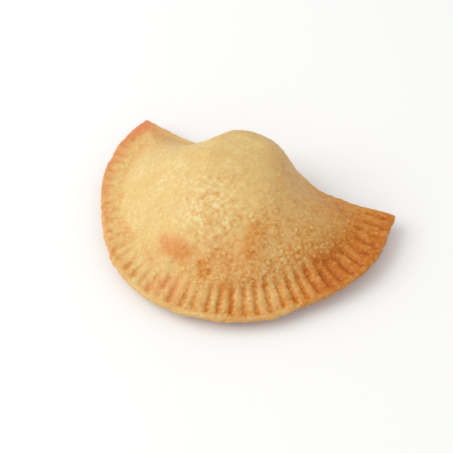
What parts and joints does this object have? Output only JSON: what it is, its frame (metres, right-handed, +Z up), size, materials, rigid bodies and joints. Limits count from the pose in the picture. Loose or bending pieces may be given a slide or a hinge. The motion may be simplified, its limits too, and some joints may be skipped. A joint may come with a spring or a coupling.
{
  "type": "fried pastry turnover",
  "caption": "Half-moon fried turnover: a domed, filled body with a round fold at the back and a flat rim sealed with fork marks.",
  "frame": {"origin": "on the surface it rests on, under the middle of the part's box in X and Y", "axes": "+X along the fold from tip to tip, -Y towards the fork-sealed front rim, +Z up from the resting face"},
  "size_m": [0.123, 0.0804, 0.0354],
  "materials": {
    "fried_dough": "golden fried dough with a thin film of oil, browner on the rim and at the tips"
  },
  "bodies": {
    "root": {"turnover": "fried_dough"}
  },
  "joints": []
}
